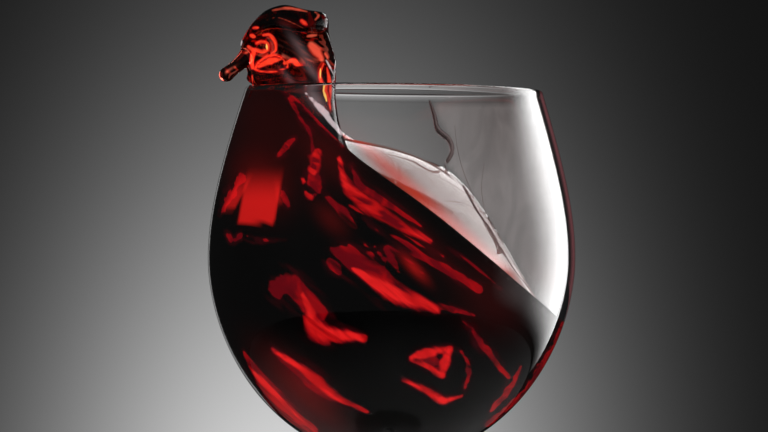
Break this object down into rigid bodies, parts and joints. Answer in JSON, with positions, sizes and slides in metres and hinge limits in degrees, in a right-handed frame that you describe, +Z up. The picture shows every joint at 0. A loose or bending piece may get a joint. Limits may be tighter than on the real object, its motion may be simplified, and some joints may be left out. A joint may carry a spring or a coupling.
{
  "type": "glass of red wine",
  "caption": "Stemmed balloon wine glass part filled with red wine, the wine caught swinging up one side of the bowl and curling over the rim.",
  "frame": {"origin": "centre of the foot's underside, on the surface that the glass stands on", "axes": "+Z up the axis of the glass; -X towards the side where the wine goes over the rim; -Y towards the near side, where its lip curls to"},
  "size_m": [0.104, 0.104, 0.2347],
  "materials": {
    "glass": "clear, polished, colourless drinking glass",
    "wine": "deep red wine, nearly black where it is thick and bright red where light comes through, wet and glossy"
  },
  "bodies": {
    "root": {"glass": "glass", "wine": "wine"}
  },
  "joints": []
}
